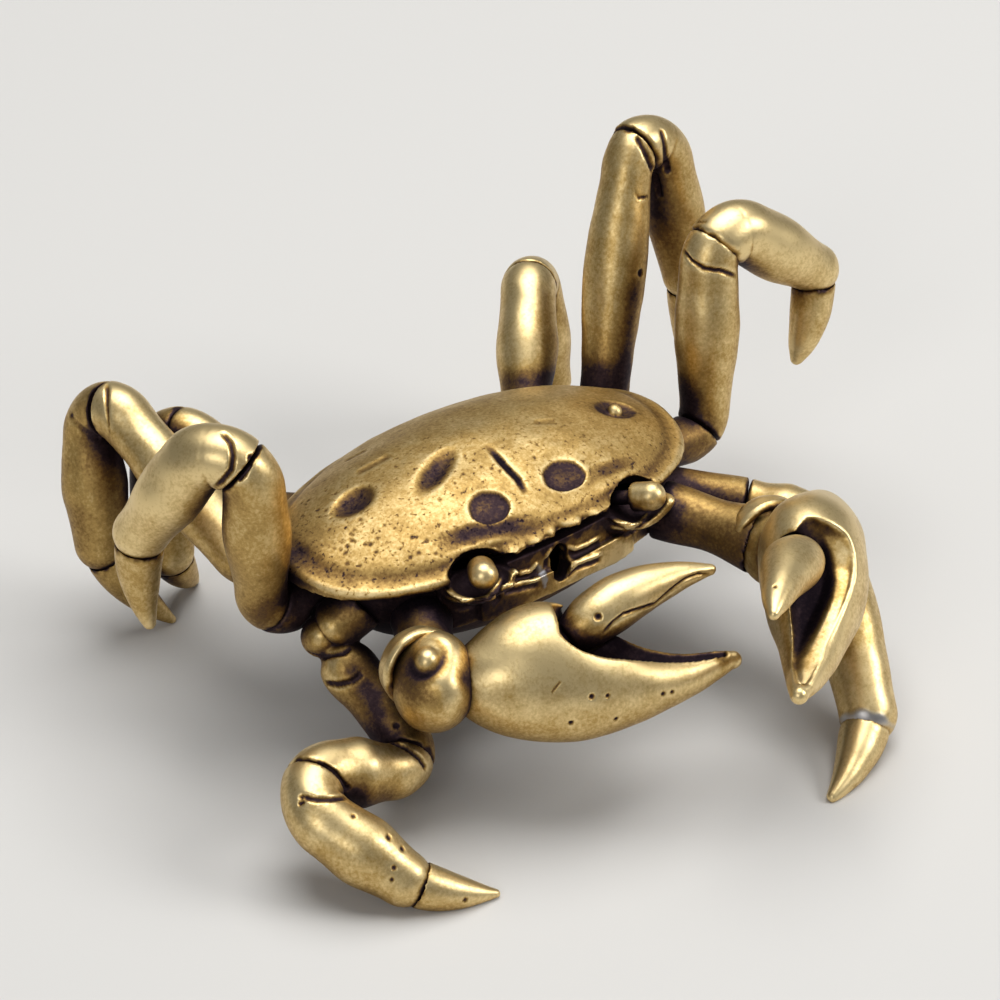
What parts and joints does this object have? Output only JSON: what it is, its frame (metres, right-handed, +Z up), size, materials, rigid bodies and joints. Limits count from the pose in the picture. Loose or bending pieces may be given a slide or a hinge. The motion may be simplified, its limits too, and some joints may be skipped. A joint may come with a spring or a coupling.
{
  "type": "crab ornament",
  "caption": "Cast brass crab ornament with raised second legs, open claws, stalked eyes and a pitted domed carapace, standing on its leg tips.",
  "frame": {"origin": "middle of the footprint's box, on the floor that the feet stand on", "axes": "+Z up; -Y is where the crab's face looks; +X is the crab's own left side"},
  "size_m": [0.0708, 0.0626, 0.0348],
  "materials": {
    "brass": "antique: polished where it is touched, dark in the hollows"
  },
  "bodies": {
    "root": {"carapace": "brass", "claw_left_arm": "brass", "claw_left_finger": "brass", "claw_left_palm": "brass", "claw_left_wrist": "brass", "claw_right_arm": "brass", "claw_right_finger": "brass", "claw_right_palm": "brass", "claw_right_wrist": "brass", "eye_left": "brass", "eye_right": "brass", "face": "brass", "leg_left_1_root": "brass", "leg_left_1_shank": "brass", "leg_left_1_thigh": "brass", "leg_left_1_tip": "brass", "leg_left_2_root": "brass", "leg_left_2_shank": "brass", "leg_left_2_thigh": "brass", "leg_left_2_tip": "brass", "leg_left_3_root": "brass", "leg_left_3_shank": "brass", "leg_left_3_thigh": "brass", "leg_left_3_tip": "brass", "leg_left_4_root": "brass", "leg_left_4_shank": "brass", "leg_left_4_thigh": "brass", "leg_left_4_tip": "brass", "leg_right_1_root": "brass", "leg_right_1_shank": "brass", "leg_right_1_thigh": "brass", "leg_right_1_tip": "brass", "leg_right_2_root": "brass", "leg_right_2_shank": "brass", "leg_right_2_thigh": "brass", "leg_right_2_tip": "brass", "leg_right_3_root": "brass", "leg_right_3_shank": "brass", "leg_right_3_thigh": "brass", "leg_right_3_tip": "brass", "leg_right_4_root": "brass", "leg_right_4_shank": "brass", "leg_right_4_thigh": "brass", "leg_right_4_tip": "brass", "underbody": "brass"}
  },
  "joints": []
}
